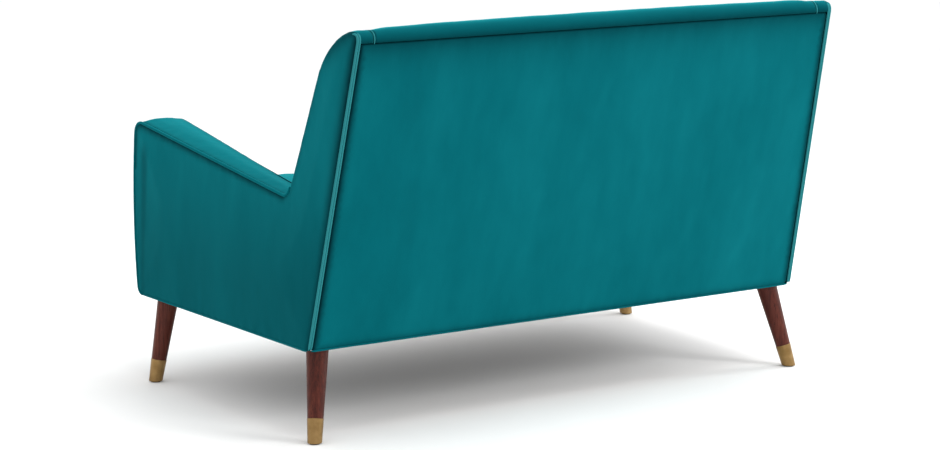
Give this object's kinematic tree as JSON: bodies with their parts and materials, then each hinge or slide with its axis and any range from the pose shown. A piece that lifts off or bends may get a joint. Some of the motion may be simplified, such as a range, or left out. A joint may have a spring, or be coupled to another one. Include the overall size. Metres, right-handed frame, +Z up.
{
  "type": "two-seat sofa",
  "caption": "Compact two-seat sofa in velvet with sloping arms, a raked back with double-piped rear corners, loose seat cushions, and splayed tapered wooden legs with brass ferrules.",
  "frame": {"origin": "on the floor, at the middle of the overall box in plan", "axes": "+Z up, the seat faces -Y, +X is the sitter's left hand and runs along the sofa's length"},
  "size_m": [1.3742, 0.932, 0.8706],
  "materials": {
    "velvet": "soft teal velvet with a short pile",
    "piping_velvet": "teal velvet over a cord",
    "leg_wood": "dark walnut stain, satin lacquer",
    "ferrule_brass": "brushed, softly worn",
    "frame_wood": "raw planed softwood and board",
    "fibreboard": "matt",
    "wadding": "fluffy polyester",
    "foam": "open-cell foam",
    "webbing": "woven elastic",
    "lining": "black non-woven lining",
    "steel": "zinc plated",
    "glide_plastic": "matt black",
    "zip_plastic": "nylon zip on woven tape"
  },
  "bodies": {
    "frame": {"apron_cover": "velvet", "apron_padding": "foam", "arm_band_left": "velvet", "arm_band_padding": "foam", "arm_band_right": "velvet", "arm_foam": "foam", "arm_front_post_left": "frame_wood", "arm_front_post_right": "frame_wood", "arm_top_rail_left": "frame_wood", "arm_top_rail_right": "frame_wood", "back_centre_post": "frame_wood", "back_lower_rail": "frame_wood", "back_rib_left": "frame_wood", "back_rib_right": "frame_wood", "back_top_band": "velvet", "back_top_rail": "frame_wood", "back_webbing": "webbing", "centre_seat_rail": "frame_wood", "corner_blocks": "frame_wood", "deck_cover": "lining", "deck_pad": "foam", "dust_cover": "lining", "ferrules": "ferrule_brass", "front_seat_rail": "frame_wood", "glides": "glide_plastic", "hanger_bolts": "steel", "inside_arm_cover_left": "velvet", "inside_arm_cover_right": "velvet", "inside_back_cover": "velvet", "inside_back_foam": "foam", "inside_back_pad_left": "velvet", "inside_back_pad_right": "velvet", "leg_front_left": "leg_wood", "leg_front_right": "leg_wood", "leg_plates": "steel", "leg_rear_left": "leg_wood", "leg_rear_right": "leg_wood", "outside_back_board": "fibreboard", "outside_back_cover": "velvet", "outside_back_wadding": "wadding", "rear_seat_rail": "frame_wood", "rear_welts": "piping_velvet", "seat_springs": "steel", "side_boards": "fibreboard", "side_cover_left": "velvet", "side_cover_right": "velvet", "side_rail_left": "frame_wood", "side_rail_right": "frame_wood", "side_wadding": "wadding", "spring_clips": "steel", "spring_cover": "lining"},
    "seat_cushion_left": {"cushion_core_left": "foam", "cushion_cover_left": "velvet", "cushion_piping_left": "piping_velvet", "cushion_zip_left": "zip_plastic"},
    "seat_cushion_right": {"cushion_core_right": "foam", "cushion_cover_right": "velvet", "cushion_piping_right": "piping_velvet", "cushion_zip_right": "zip_plastic"}
  },
  "joints": [
    {"name": "cushion_lift_left", "type": "slide", "parent": "frame", "child": "seat_cushion_left", "axis": [0, 0, 1], "range_m": [0, 0.3]},
    {"name": "cushion_lift_right", "type": "slide", "parent": "frame", "child": "seat_cushion_right", "axis": [0, 0, 1], "range_m": [0, 0.3]}
  ]
}
